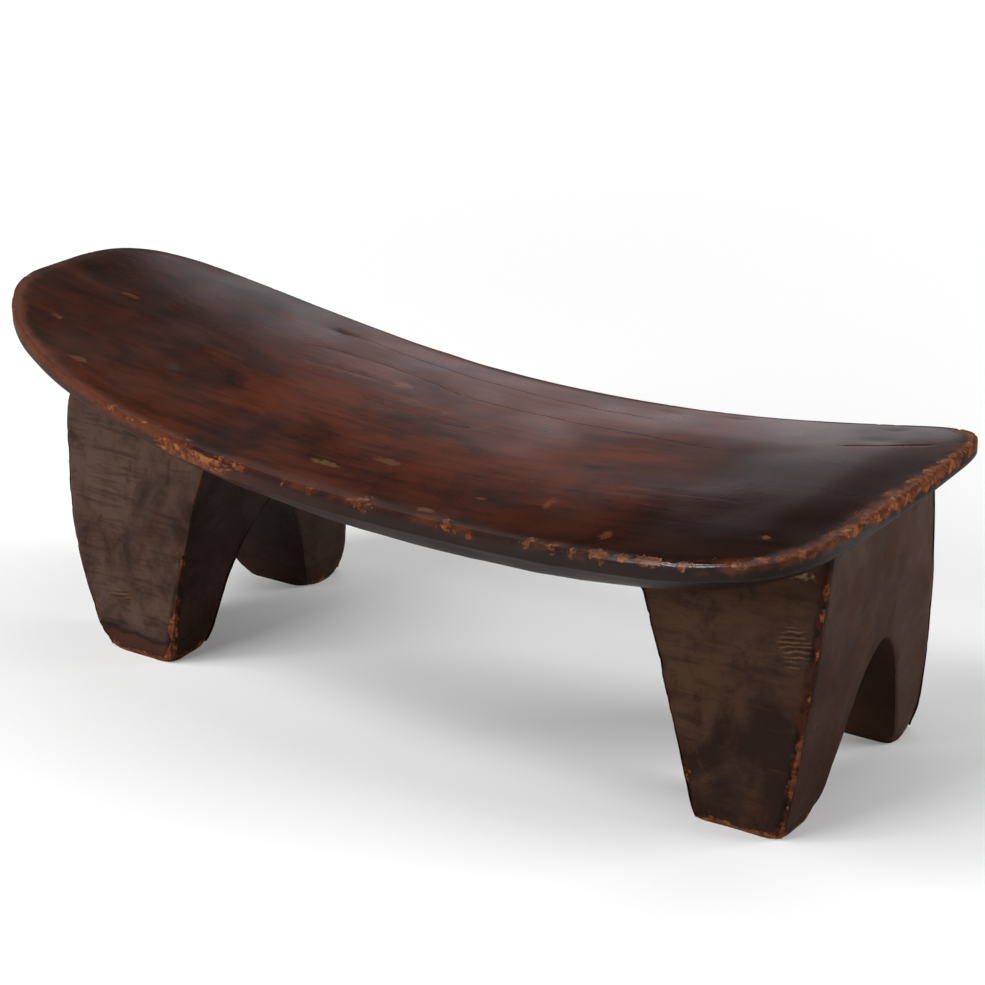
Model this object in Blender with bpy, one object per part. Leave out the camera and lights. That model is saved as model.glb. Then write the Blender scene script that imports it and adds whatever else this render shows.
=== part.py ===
"""A low African headrest: a saddle-shaped platform on two arched supports, four legs in all.

X runs along the platform, Y across it and Z up. The origin is on the surface that the feet
stand on, under the middle of the platform. The high round end is at -X, the low square end
at +X, and the front is at -Y. The legs of one support meet over its arch.
"""
import math

import bmesh
import bpy
import numpy
from mathutils import Vector

MM = 0.001
GAP = 0.3 * MM

# The platform's outline. END_WIDENING is the share by which it is wider at its ends than in
# its middle. A higher corner power makes a squarer corner, and 2 makes a quarter of an ellipse.
LENGTH = 500 * MM
WIDTH = 190 * MM
END_WIDENING = 0.18
HIGH_END_SQUARING = 9 * MM
LOW_END_BOW = 4 * MM
CORNER_POWERS = {("high", "front"): 2.0, ("high", "rear"): 3.3,
                 ("low", "front"): 6.0, ("low", "rear"): 9.5}

# The platform's thickness and its curved top. Away from its lowest place the arris rises by
# SADDLE_CURVE (in 1/m) times the distance squared and SADDLE_STEEPENING (in 1/m3) times its
# fourth power. CROWN is how much higher the top is at its middle line than at the arris.
SADDLE_HEIGHT = 125.8 * MM
SADDLE_PLACE = 46.5 * MM
SADDLE_CURVE = 0.462
SADDLE_STEEPENING = 0.52
CROWN = 8 * MM
RIM_HEIGHT = 8 * MM
RIM_ROUNDING = 2 * MM
END_THICKNESS = 20 * MM
KEEL_DEPTH = 9.5 * MM
KEEL_REACH = 175 * MM
BELLY_POWER = 5

# How finely the platform is divided. The innermost ring lies at DEEPEST_SHARE of the way in,
# and the rings crowd towards the rim.
OUTLINE_POINTS = 96
OUTLINE_SAMPLES = 4000
CROWN_RINGS = 6
BELLY_RINGS = 7
DEEPEST_SHARE = 0.94
RING_CROWDING = 1.6

# The block that trims the legs to the platform's underside.
CUTTER_SPREAD = 40 * MM
CUTTER_CEILING = 300 * MM

# The supports. A face's "foot" is its place on the ground, its "top" is its place at
# LEG_HEIGHT, and its "bulge" is how far it stands off the straight line between them.
LEG_HEIGHT = 130 * MM
LEG_SURPLUS = 40 * MM
ARCH_LEVELS = 12
ARCH_CROWDING = 1.7
LEVELS_ABOVE_ARCH = 4
ARRIS_ROUNDING = 3.5 * MM
FOOT_ROUNDING = 2 * MM
FOOT_MIDDLE_STEP = 0.3 * FOOT_ROUNDING
CORNER_STEPS = 3
SUPPORTS = {
    "left": {
        "outer": {"foot": -158.5 * MM, "top": -182 * MM, "bulge": -10.5 * MM},
        "inner": {"foot": -115 * MM, "top": -84.5 * MM, "bulge": -5 * MM},
        "front": {"foot": -68 * MM, "top": -58 * MM, "bulge": 0.0},
        "rear": {"foot": 80.5 * MM, "top": 71.5 * MM, "bulge": 0.0},
        "arch": {"foot_middle": 5 * MM, "top_middle": 7 * MM, "width": 83 * MM, "height": 69 * MM},
    },
    "right": {
        "outer": {"foot": 230 * MM, "top": 239 * MM, "bulge": 2 * MM, "twist": -0.055},
        "inner": {"foot": 184.5 * MM, "top": 139 * MM, "bulge": 2.5 * MM},
        "front": {"foot": -67.5 * MM, "top": -53 * MM, "bulge": -2 * MM},
        "rear": {"foot": 71 * MM, "top": 65 * MM, "bulge": 2.5 * MM},
        "arch": {"foot_middle": 7 * MM, "top_middle": 15 * MM, "width": 78 * MM, "height": 68 * MM},
    },
}
ARCH_ROUNDNESS = 0.5

WOOD_FINISHES = {
    "rest_platform": ((0.085, 0.030, 0.014, 1), 0.38),
    "leg": ((0.060, 0.032, 0.020, 1), 0.52),
}


def clear_scene():
    for item in list(bpy.data.objects):
        bpy.data.objects.remove(item, do_unlink=True)


def wood(name, color, roughness):
    material = bpy.data.materials.new(name)
    material.use_nodes = True
    shader = material.node_tree.nodes["Principled BSDF"]
    shader.inputs["Base Color"].default_value = color
    shader.inputs["Roughness"].default_value = roughness
    shader.inputs["Metallic"].default_value = 0
    return material


def outline_point(angle, inset):
    """A point of the platform's outline, drawn in by `inset` on all sides."""
    along = math.cos(angle)
    across = math.sin(angle)
    corner = ("low" if along > 0 else "high", "rear" if across > 0 else "front")
    power = CORNER_POWERS[corner]
    reach = (abs(along) ** power + abs(across) ** power) ** (-1 / power)
    along *= reach
    across *= reach
    half_width = WIDTH / 2 * (1 + END_WIDENING * along ** 2)
    end_shift = LOW_END_BOW if along > 0 else HIGH_END_SQUARING
    x = along * (LENGTH / 2 - inset) - end_shift * across ** 2 * abs(along)
    y = across * (half_width - inset)
    return x, y


def even_angles(count):
    """Angles whose outline points are evenly spaced."""
    angles = numpy.linspace(0, 2 * math.pi, OUTLINE_SAMPLES + 1)
    points = numpy.array([outline_point(angle, 0) for angle in angles])
    steps = numpy.hypot(*numpy.diff(points, axis=0).T)
    travelled = numpy.concatenate([[0], numpy.cumsum(steps)])
    wanted = numpy.arange(count) * travelled[-1] / count
    return numpy.interp(wanted, travelled, angles)


def rim_top(x):
    """Height of the platform's upper arris."""
    away = x - SADDLE_PLACE
    return SADDLE_HEIGHT + SADDLE_CURVE * away ** 2 + SADDLE_STEEPENING * away ** 4


def crown_rise(share):
    """How far the top stands above the arris, at a share of the way in to the middle line."""
    return CROWN * (1 - (1 - share) ** 2)


def belly_drop(x, share):
    """How far the underside lies below the arris, at a share of the way in."""
    keel = KEEL_DEPTH * math.exp(-(((x - SADDLE_PLACE) / KEEL_REACH) ** 2))
    deepest = END_THICKNESS + keel
    return RIM_HEIGHT + (deepest - RIM_HEIGHT) * (1 - (1 - share) ** BELLY_POWER)


def add_ring(mesh, angles, inset, height):
    """A closed row of vertices; `height` gives z for a point's x."""
    ring = []
    for angle in angles:
        x, y = outline_point(angle, inset)
        ring.append(mesh.verts.new((x, y, height(x))))
    return ring


def join_rings(mesh, first, second):
    count = len(first)
    for i in range(count):
        j = (i + 1) % count
        mesh.faces.new((first[i], first[j], second[j], second[i]))


def close_ring(mesh, ring):
    """Fills the slot inside the innermost ring with strips from its front to its rear."""
    count = len(ring)
    left = min(range(count), key=lambda i: ring[i].co.x)
    order = [ring[(left + i) % count] for i in range(count)]
    near = 1
    far = count - 1
    mesh.faces.new((order[0], order[near], order[far]))
    while far - near > 1:
        if order[near + 1].co.x <= order[far - 1].co.x:
            mesh.faces.new((order[near], order[near + 1], order[far]))
            near += 1
        else:
            mesh.faces.new((order[near], order[far - 1], order[far]))
            far -= 1


def finish_object(name, mesh, material):
    bmesh.ops.recalc_face_normals(mesh, faces=mesh.faces)
    data = bpy.data.meshes.new(name)
    mesh.to_mesh(data)
    mesh.free()
    item = bpy.data.objects.new(name, data)
    bpy.context.scene.collection.objects.link(item)
    if material:
        data.materials.append(material)
    return item


def inset_steps(count):
    """Shares of the way in from the rim, closer together near the rim."""
    return [DEEPEST_SHARE * (step / count) ** RING_CROWDING for step in range(1, count + 1)]


def make_platform(material):
    mesh = bmesh.new()
    angles = even_angles(OUTLINE_POINTS)
    half_width = WIDTH / 2
    rings = []
    for share in reversed(inset_steps(CROWN_RINGS)):
        inset = RIM_ROUNDING + share * (half_width - RIM_ROUNDING)
        rings.append(add_ring(mesh, angles, inset, lambda x, s=share: rim_top(x) + crown_rise(s)))
    rings.append(add_ring(mesh, angles, RIM_ROUNDING, rim_top))
    rings.append(add_ring(mesh, angles, 0, lambda x: rim_top(x) - RIM_ROUNDING))
    rings.append(add_ring(mesh, angles, 0, lambda x: rim_top(x) - RIM_HEIGHT))
    for share in inset_steps(BELLY_RINGS):
        inset = share * half_width
        rings.append(add_ring(mesh, angles, inset,
                              lambda x, s=share: rim_top(x) - belly_drop(x, s)))
    for upper, lower in zip(rings, rings[1:]):
        join_rings(mesh, upper, lower)
    close_ring(mesh, rings[0])
    close_ring(mesh, rings[-1])
    bmesh.ops.triangulate(mesh, faces=mesh.faces)
    return finish_object("rest_platform", mesh, material)


def make_underside_cutter():
    """A block whose lower side is the platform's underside, GAP lower, and wider all round."""
    mesh = bmesh.new()
    angles = even_angles(OUTLINE_POINTS)
    half_width = WIDTH / 2
    rings = [add_ring(mesh, angles, -CUTTER_SPREAD, lambda x: CUTTER_CEILING)]
    rings.append(add_ring(mesh, angles, -CUTTER_SPREAD, lambda x: rim_top(x) - RIM_HEIGHT - GAP))
    rings.append(add_ring(mesh, angles, 0, lambda x: rim_top(x) - RIM_HEIGHT - GAP))
    for share in inset_steps(BELLY_RINGS):
        rings.append(add_ring(mesh, angles, share * half_width,
                              lambda x, s=share: rim_top(x) - belly_drop(x, s) - GAP))
    for upper, lower in zip(rings, rings[1:]):
        join_rings(mesh, upper, lower)
    mesh.faces.new(rings[0])
    close_ring(mesh, rings[-1])
    bmesh.ops.triangulate(mesh, faces=mesh.faces)
    cutter = finish_object("underside_cutter", mesh, None)
    cutter.hide_render = True
    cutter.display_type = "WIRE"
    return cutter


def face_place(face, z, y=0.0):
    """Where a support's face stands at height z; a twisted face also turns with y."""
    share = z / LEG_HEIGHT
    straight = face["foot"] + (face["top"] - face["foot"]) * share
    return straight + face["bulge"] * 4 * share * (1 - share) + face.get("twist", 0.0) * y * share


def arch_half_width(arch, z):
    share = max(0.0, 1 - z / arch["height"])
    return arch["width"] / 2 * share ** ARCH_ROUNDNESS


def arch_middle(arch, z):
    """The arch leans a little to the rear; above it this is where the two legs meet."""
    share = min(1.0, z / arch["height"])
    return arch["foot_middle"] + (arch["top_middle"] - arch["foot_middle"]) * share


def leg_levels(arch, top):
    """Heights of a leg's levels with how far each is drawn in to round the foot's edge."""
    levels = [(0.0, FOOT_ROUNDING), (FOOT_MIDDLE_STEP, FOOT_MIDDLE_STEP), (FOOT_ROUNDING, 0.0)]
    start = FOOT_ROUNDING / arch["height"]
    for step in range(1, ARCH_LEVELS + 1):
        share = 1 - (1 - start) * (1 - step / ARCH_LEVELS) ** ARCH_CROWDING
        levels.append((arch["height"] * share, 0.0))
    for step in range(1, LEVELS_ABOVE_ARCH + 1):
        share = step / LEVELS_ABOVE_ARCH
        levels.append((arch["height"] + (top - arch["height"]) * share, 0.0))
    return levels


def rounded_corner(corner, before, after, radius):
    """Points that take the corner of a section round from one side to the next."""
    enter = corner + (before - corner).normalized() * radius
    leave = corner + (after - corner).normalized() * radius
    points = []
    for step in range(CORNER_STEPS + 1):
        share = step / CORNER_STEPS
        points.append(enter.lerp(corner, share).lerp(corner.lerp(leave, share), share))
    return points


def leg_section(support, side, z, shrink):
    """The leg's outline at height z: its two outside corners are round, its arch side is not."""
    outward = -1 if side == "front" else 1
    arch = support["arch"]
    outside = face_place(support[side], z) - outward * shrink
    opening = max(arch_half_width(arch, z), GAP / 2)
    inside = arch_middle(arch, z) + outward * (opening + shrink)
    corners = []
    for face, y in (("outer", outside), ("inner", outside), ("inner", inside), ("outer", inside)):
        x = face_place(support[face], z, y)
        middle = (support["outer"]["foot"] + support["inner"]["foot"]) / 2
        x += math.copysign(shrink, middle - x) if shrink else 0
        corners.append(Vector((x, y, z)))
    outer_out, inner_out, inner_in, outer_in = corners
    return (rounded_corner(outer_out, outer_in, inner_out, ARRIS_ROUNDING)
            + rounded_corner(inner_out, outer_out, inner_in, ARRIS_ROUNDING)
            + [inner_in, outer_in])


def make_leg(name, support, side, material, cutter):
    """One leg with its half of the wood above the arch, up to the platform's underside."""
    mesh = bmesh.new()
    levels = []
    for z, shrink in leg_levels(support["arch"], LEG_HEIGHT + LEG_SURPLUS):
        levels.append([mesh.verts.new(point) for point in leg_section(support, side, z, shrink)])
    for lower, upper in zip(levels, levels[1:]):
        join_rings(mesh, lower, upper)
    mesh.faces.new(levels[0])
    mesh.faces.new(levels[-1])
    bmesh.ops.triangulate(mesh, faces=mesh.faces)
    leg = finish_object(name, mesh, material)
    trim = leg.modifiers.new("fit_to_underside", "BOOLEAN")
    trim.operation = "DIFFERENCE"
    trim.solver = "EXACT"
    trim.object = cutter
    return leg


def main():
    clear_scene()
    platform_wood = wood("platform_wood", *WOOD_FINISHES["rest_platform"])
    leg_wood = wood("leg_wood", *WOOD_FINISHES["leg"])
    make_platform(platform_wood)
    cutter = make_underside_cutter()
    for end, support in SUPPORTS.items():
        for side in ("front", "rear"):
            make_leg(f"{side}_{end}_leg", support, side, leg_wood, cutter)


main()
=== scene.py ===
"""Looks for the carved headrest: one block of old, darkened and much handled wood.

Each CAD node gets one finer piece of the same shape, with rounded and chipped arrises, tool
marks and cracks, and with procedural wood materials. All lengths are in metres.
"""
import itertools
import math

import bmesh
import bpy
import numpy as np
from mathutils import Matrix, Quaternion, Vector
from mathutils.bvhtree import BVHTree


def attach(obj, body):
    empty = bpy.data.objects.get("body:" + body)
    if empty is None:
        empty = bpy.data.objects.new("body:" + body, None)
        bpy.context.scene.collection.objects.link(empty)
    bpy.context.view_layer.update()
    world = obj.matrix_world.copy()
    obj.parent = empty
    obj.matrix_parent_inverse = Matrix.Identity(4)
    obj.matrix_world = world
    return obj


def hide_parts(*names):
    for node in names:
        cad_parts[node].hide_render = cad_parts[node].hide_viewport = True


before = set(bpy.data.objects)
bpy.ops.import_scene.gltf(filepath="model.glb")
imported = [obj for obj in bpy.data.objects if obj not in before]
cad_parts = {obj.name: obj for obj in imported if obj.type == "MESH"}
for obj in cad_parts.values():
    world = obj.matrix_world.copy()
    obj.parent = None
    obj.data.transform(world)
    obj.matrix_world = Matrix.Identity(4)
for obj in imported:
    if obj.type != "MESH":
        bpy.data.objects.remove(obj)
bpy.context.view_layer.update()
MM = 0.001

# -------- shape, as in the CAD part
LENGTH = 500 * MM
WIDTH = 190 * MM
END_WIDENING = 0.18
HIGH_END_SQUARING = 9 * MM
LOW_END_BOW = 4 * MM
CORNER_POWERS = {("high", "front"): 2.0, ("high", "rear"): 3.3,
                 ("low", "front"): 6.0, ("low", "rear"): 9.5}
SADDLE_HEIGHT = 125.8 * MM
SADDLE_PLACE = 46.5 * MM
SADDLE_CURVE = 0.462
SADDLE_STEEPENING = 0.52
CROWN = 8 * MM
RIM_HEIGHT = 8 * MM
END_THICKNESS = 20 * MM
KEEL_DEPTH = 9.5 * MM
KEEL_REACH = 175 * MM
BELLY_POWER = 5
LEG_HEIGHT = 130 * MM
SUPPORTS = {
    "left": {
        "outer": {"foot": -158.5 * MM, "top": -182 * MM, "bulge": -10.5 * MM},
        "inner": {"foot": -115 * MM, "top": -84.5 * MM, "bulge": -5 * MM},
        "front": {"foot": -68 * MM, "top": -58 * MM, "bulge": 0.0},
        "rear": {"foot": 80.5 * MM, "top": 71.5 * MM, "bulge": 0.0},
        "arch": {"foot_middle": 5 * MM, "top_middle": 7 * MM, "width": 83 * MM, "height": 69 * MM},
    },
    "right": {
        "outer": {"foot": 230 * MM, "top": 239 * MM, "bulge": 2 * MM, "twist": -0.055},
        "inner": {"foot": 184.5 * MM, "top": 139 * MM, "bulge": 2.5 * MM},
        "front": {"foot": -67.5 * MM, "top": -53 * MM, "bulge": -2 * MM},
        "rear": {"foot": 71 * MM, "top": 65 * MM, "bulge": 2.5 * MM},
        "arch": {"foot_middle": 7 * MM, "top_middle": 15 * MM, "width": 78 * MM, "height": 68 * MM},
    },
}

# -------- repeatable noise


def hashed(cell, seed):
    """A repeatable number from 0 to 1 for each lattice point."""
    mixed = (cell[:, 0] * 374761393 + cell[:, 1] * 668265263 + cell[:, 2] * 1440662683
             + seed * 2147001325) & 0xFFFFFFFF
    mixed = ((mixed ^ (mixed >> 15)) * 2246822519) & 0xFFFFFFFF
    mixed = ((mixed ^ (mixed >> 13)) * 3266489917) & 0xFFFFFFFF
    return (mixed ^ (mixed >> 16)) / 0xFFFFFFFF


def noise(points, size, seed):
    """Smooth noise from -1 to 1. `size` is the width of its bumps, one number or one per axis."""
    scaled = points / np.asarray(size) + 0.5 * seed
    cell = np.floor(scaled).astype(np.int64)
    part = scaled - cell
    part = part ** 3 * (part * (part * 6 - 15) + 10)
    total = np.zeros(len(points))
    for corner in itertools.product((0, 1), repeat=3):
        weight = np.prod(np.where(np.array(corner) == 1, part, 1 - part), axis=1)
        total += weight * hashed(cell + np.array(corner), seed)
    return 2 * total - 1


def layered_noise(points, size, seed, layers=3):
    """Noise with finer noise on it, each layer half the size and half the strength."""
    size = np.asarray(size, float)
    return sum(noise(points, size / 2 ** i, seed + i) / 2 ** i for i in range(layers))


def tool_marks(points, size, seed):
    """0 in the middle of each shallow cut and up to 1 on the ridges between the cuts."""
    scaled = points / np.asarray(size)
    cell = np.floor(scaled).astype(np.int64)
    nearest = np.full(len(points), 9.0)
    for offset in itertools.product((-1, 0, 1), repeat=3):
        corner = cell + np.array(offset)
        middle = corner + np.stack([hashed(corner, seed + axis) for axis in range(3)], axis=1)
        nearest = np.minimum(nearest, ((scaled - middle) ** 2).sum(axis=1))
    return np.minimum(nearest, 1)


def step(low, high, value):
    """0 at `low` and 1 at `high`, with a smooth way between them."""
    share = np.clip((value - low) / (high - low), 0, 1)
    return share * share * (3 - 2 * share)


def zone(value, start, full, fading, end):
    """1 from `full` to `fading`, and 0 below `start` and above `end`."""
    return step(start, full, value) * step(end, fading, value)


def hump(value, middle, reach):
    """1 at `middle`, falling smoothly to about 0 at twice `reach` from it."""
    return np.exp(-((value - middle) / reach) ** 2)


# -------- mesh making


def new_piece(name, points, faces):
    """A smoothly shaded mesh object with its faces turned outwards."""
    data = bpy.data.meshes.new(name)
    data.from_pydata([tuple(p) for p in points], [], faces)
    mesh = bmesh.new()
    mesh.from_mesh(data)
    bmesh.ops.recalc_face_normals(mesh, faces=mesh.faces)
    mesh.to_mesh(data)
    mesh.free()
    piece = bpy.data.objects.new(name, data)
    bpy.context.scene.collection.objects.link(piece)
    data.shade_smooth()
    return piece


def read_vectors(items, name):
    """One row of three numbers for each vertex."""
    flat = np.zeros(len(items) * 3)
    items.foreach_get(name, flat)
    return flat.reshape(-1, 3)


def read_points(piece):
    return read_vectors(piece.data.vertices, "co")


def read_normals(piece):
    return read_vectors(piece.data.vertex_normals, "vector")


def write_points(piece, points):
    piece.data.vertices.foreach_set("co", points.reshape(-1))
    piece.data.update()


def paint(piece, **values):
    """Keeps one number per vertex under each name, for the materials to read."""
    for name, numbers in values.items():
        attribute = piece.data.attributes.new(name, "FLOAT", "POINT")
        attribute.data.foreach_set("value", np.asarray(numbers, np.float32))


# -------- the platform

OUTLINE_POINTS = 1000
TOP_ROWS = 38
ARRIS_ROWS = 7
RIM_ROWS = 6
BELLY_ROWS = 26
CLOSING_ROWS = 9
ARRIS_ROUNDING = 2.0 * MM
DEEPEST_SHARE = 0.97
# Powers that crowd the rows of the top and of the underside towards the rim.
TOP_CROWDING = 1.25
BELLY_CROWDING = 1.5
# The dull finish of the rim starts at this share of the arris's rounding, and lower down where
# hands have polished the near arris.
DULL_FROM = 0.02
POLISHED_TO = 0.6
POLISHED_X = (150 * MM, 236 * MM)


def outline(angles, inset):
    """Points of the platform's outline, drawn in by `inset` on all sides."""
    along, across = np.cos(angles), np.sin(angles)
    low, high = (np.where(across > 0, CORNER_POWERS[end, "rear"], CORNER_POWERS[end, "front"])
                 for end in ("low", "high"))
    power = np.where(along > 0, low, high)
    reach = (abs(along) ** power + abs(across) ** power) ** (-1 / power)
    along, across = along * reach, across * reach
    half_width = WIDTH / 2 * (1 + END_WIDENING * along ** 2)
    end_shift = np.where(along > 0, LOW_END_BOW, HIGH_END_SQUARING)
    x = along * (LENGTH / 2 - inset) - end_shift * across ** 2 * abs(along)
    y = across * (half_width - inset)
    return x, y


def even_angles(count):
    """Angles whose outline points are evenly spaced."""
    angles = np.linspace(0, 2 * math.pi, 8 * count + 1)
    x, y = outline(angles, 0)
    travelled = np.concatenate([[0], np.cumsum(np.hypot(np.diff(x), np.diff(y)))])
    return np.interp(np.arange(count) * travelled[-1] / count, travelled, angles)


def rim_top(x):
    """Height of the platform's upper arris."""
    away = x - SADDLE_PLACE
    return SADDLE_HEIGHT + SADDLE_CURVE * away ** 2 + SADDLE_STEEPENING * away ** 4


def crown_rise(share):
    """How far the top stands above the arris, at a share of the way in to the middle line."""
    return CROWN * (1 - (1 - share) ** 2)


def belly_drop(x, share):
    """How far the underside lies below the arris, at a share of the way in."""
    keel = KEEL_DEPTH * np.exp(-(((x - SADDLE_PLACE) / KEEL_REACH) ** 2))
    return RIM_HEIGHT + (END_THICKNESS + keel - RIM_HEIGHT) * (1 - (1 - share) ** BELLY_POWER)


def platform_rows(angles):
    """Closed rows of points from the middle of the top, over the rim, to the middle below."""
    rows = []
    half_width = WIDTH / 2
    rounding = ARRIS_ROUNDING
    for share in DEEPEST_SHARE * np.linspace(1, 0, TOP_ROWS, endpoint=False) ** TOP_CROWDING:
        x, y = outline(angles, rounding + share * (half_width - rounding))
        rows.append((x, y, rim_top(x) + crown_rise(share)))
    for turn in np.linspace(0, math.pi / 2, ARRIS_ROWS, endpoint=False):
        x, y = outline(angles, rounding * (1 - math.sin(turn)))
        rows.append((x, y, rim_top(x) - rounding * (1 - math.cos(turn))))
    for fall in np.linspace(rounding, RIM_HEIGHT, RIM_ROWS, endpoint=False):
        x, y = outline(angles, 0)
        rows.append((x, y, rim_top(x) - fall))
    for share in DEEPEST_SHARE * np.linspace(0, 1, BELLY_ROWS) ** BELLY_CROWDING:
        x, y = outline(angles, share * half_width)
        rows.append((x, y, rim_top(x) - belly_drop(x, share)))
    return [np.stack(row, axis=1) for row in rows]


def closing_patch(ring, first, start):
    """Fills the slot inside a ring, whose vertices start at `first`, with a grid across it.

    New vertices are numbered from `start`. Returns the points and the faces."""
    count = len(ring)
    half = count // 2
    columns = [[first]]
    points = []
    for i in range(1, half):
        front, rear = ring[i], ring[count - i]
        column = [first + i]
        for k in range(1, CLOSING_ROWS):
            column.append(start + len(points))
            points.append(front + (rear - front) * k / CLOSING_ROWS)
        columns.append(column + [first + count - i])
    columns.append([first + half])
    faces = []
    for left, right in zip(columns, columns[1:]):
        for k in range(CLOSING_ROWS):
            a, b = left[min(k, len(left) - 1)], left[min(k + 1, len(left) - 1)]
            c, d = right[min(k + 1, len(right) - 1)], right[min(k, len(right) - 1)]
            faces.append(list(dict.fromkeys((a, b, c, d))))
    return points, faces


def ring_faces(rings, count):
    """Quads between rows of `count` vertices that are numbered one row after the other."""
    faces = []
    for row in range(rings - 1):
        for i in range(count):
            j = (i + 1) % count
            upper, lower = row * count, (row + 1) * count
            faces.append((upper + i, lower + i, lower + j, upper + j))
    return faces


# Cracks along the grain of the top: x and y at both ends, how far the middle bows in y, depth.
CRACKS = [
    ((-104, 36), (-4, 33), 9, 0.45), ((-4, 33), (150, 17), 6, 0.30),
    ((-114, 73), (93, 59), -1, 0.30), ((-95, 17), (-48, 23), 0, 0.35),
    ((-42, -3), (27, -3), -4, 0.30), ((196, 44), (234, 66), -2, 0.45),
]
# Dents: x, y, half length along the grain, half width, depth, all in millimetres.
DENTS = [
    (-102, 68, 7, 3.5, 1.0), (-124, -40, 8, 3.5, 0.8), (88, 79, 9, 3, 0.6), (205, 86, 6, 4, 0.7),
    (206, 60, 8, 6, 0.5), (219, -70, 4, 2, 0.4), (120, 84, 8, 3, 0.5), (-205, -20, 14, 7, 0.5),
]


def crack_line(points, crack):
    """Distance across the crack from its line, and 1 within its length, tapering at its ends."""
    (x0, y0), (x1, y1), bow, _ = crack
    share = (points[:, 0] / MM - x0) / (x1 - x0)
    middle = y0 + (y1 - y0) * share + bow * 4 * share * (1 - share)
    return points[:, 1] - middle * MM, zone(share, 0, 0.08, 0.92, 1)


def make_platform():
    """The platform with its worn surface: one closed mesh."""
    angles = even_angles(OUTLINE_POINTS)
    rows = platform_rows(angles)
    points = list(np.concatenate(rows))
    faces = ring_faces(len(rows), OUTLINE_POINTS)
    last = (len(rows) - 1) * OUTLINE_POINTS
    for ring, first in ((rows[0], 0), (rows[-1], last)):
        added, patch = closing_patch(ring, first, len(points))
        points += added
        faces += patch
    piece = new_piece("platform", points, faces)
    shape_platform(piece)
    return piece


def shape_platform(piece):
    """Moves the surface for waves, tool marks, flakes, cracks and dents, and paints the wear."""
    points = read_points(piece)
    normals = read_normals(piece)
    x, y, z = points.T
    below = rim_top(x) - z
    top = step(1.2 * MM, -0.5 * MM, below)
    under = step(RIM_HEIGHT - 1 * MM, RIM_HEIGHT + 3 * MM, below)
    give_rim_finish(piece, below)
    closeness, rubbed = edge_closeness(points, below)
    worn = platform_wear(points)
    flake = layered_noise(points, 5 * MM, 11)
    chipped = step(0.0, 0.6, flake * 0.8 + worn * 0.9 - 0.45) * closeness

    push = 0.30 * MM * layered_noise(points, (110 * MM, 60 * MM, 100 * MM), 3, layers=2)
    push += 0.07 * MM * noise(points, 16 * MM, 5)
    push += under * 0.9 * MM * (tool_marks(points, (34 * MM, 22 * MM, 40 * MM), 21) - 0.5)
    push += (1 - top) * (1 - under) * 0.35 * MM * noise(points, (22 * MM, 22 * MM, 9 * MM), 31)
    push -= chipped * (0.35 * MM + 0.2 * MM * noise(points, 3 * MM, 41))
    ridge = zone(x, 40 * MM, 130 * MM, 215 * MM, 246 * MM) * hump(y, 5 * MM, 60 * MM)
    push += top * ridge * 2.0 * MM
    for crack in CRACKS:
        across, inside = crack_line(points, crack)
        push -= top * inside * crack[3] * 0.5 * MM * hump(across, 0, 1.0 * MM)
    for cx, cy, long, wide, deep in DENTS:
        round_about = ((x / MM - cx) / long) ** 2 + ((y / MM - cy) / wide) ** 2
        push -= top * deep * MM * np.exp(-round_about)
    write_points(piece, points + normals * push[:, None])
    paint(piece, edge=closeness, worn=worn, rubbed=rubbed * platform_rubbing(points), flake=flake,
          chip=zone(below, 0.5 * MM, 3 * MM, 9 * MM, 13 * MM), top=top)


def give_rim_finish(piece, below):
    """Marks the faces below the upper arris for the platform's second material."""
    first = [polygon.vertices[0] for polygon in piece.data.polygons]
    x, y, _ = read_points(piece)[first].T
    polished = (x > POLISHED_X[0]) & (x < POLISHED_X[1]) & (y < 0)
    second = below[first] > np.where(polished, POLISHED_TO, DULL_FROM) * ARRIS_ROUNDING
    piece.data.polygons.foreach_set("material_index", second.astype(np.int32))


def edge_closeness(points, below):
    """1 on the platform's upper arris and falling away from it: first steeply, for the flakes,
    and then more widely, for the rubbed band."""
    x, y, _ = points.T
    share = np.abs(x) / (LENGTH / 2)
    angle = np.arctan2(y / (WIDTH / 2 * (1 + END_WIDENING * share ** 2)), x / (LENGTH / 2))
    rim_x, rim_y = outline(angle, 0)
    inward = np.hypot(rim_x, rim_y) - np.hypot(x, y)
    low_end = step(222 * MM, 238 * MM, x) * step(-60 * MM, 10 * MM, y)
    down = np.maximum(below - 0.5 * MM, 0)
    inward = np.maximum(inward - 1 * MM, 0)
    from_arris = np.where(below > 0.5 * MM, down * (1 - 0.55 * low_end), inward * 0.6)
    face_end = step(RIM_HEIGHT - 0.6 * MM, RIM_HEIGHT - 1.8 * MM, below)
    wide = np.where(below > 0.5 * MM, down, inward * 0.55)
    return np.exp(-(from_arris / (3 * MM)) ** 2) * face_end, np.exp(-(wide / (5 * MM)) ** 2)


def platform_wear(points):
    """How much of the dark surface has flaked off the upper arris, by place round the platform."""
    x, y, _ = points.T
    front = step(0, -40 * MM, y)
    low_end = step(212 * MM, 240 * MM, x)
    wear = 0.12 + 0.16 * front + 0.36 * low_end + 0.22 * low_end * step(-60 * MM, 10 * MM, y)
    wear += 0.16 * front * step(20 * MM, 110 * MM, x)
    wear += 0.10 * front * zone(x, -200 * MM, -120 * MM, -80 * MM, -20 * MM)
    wear += 0.10 * step(-150 * MM, -215 * MM, x) * step(40 * MM, 0, y)
    wear += 0.24 * noise(points, 22 * MM, 51)
    return np.clip(wear, 0, 1)


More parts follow.
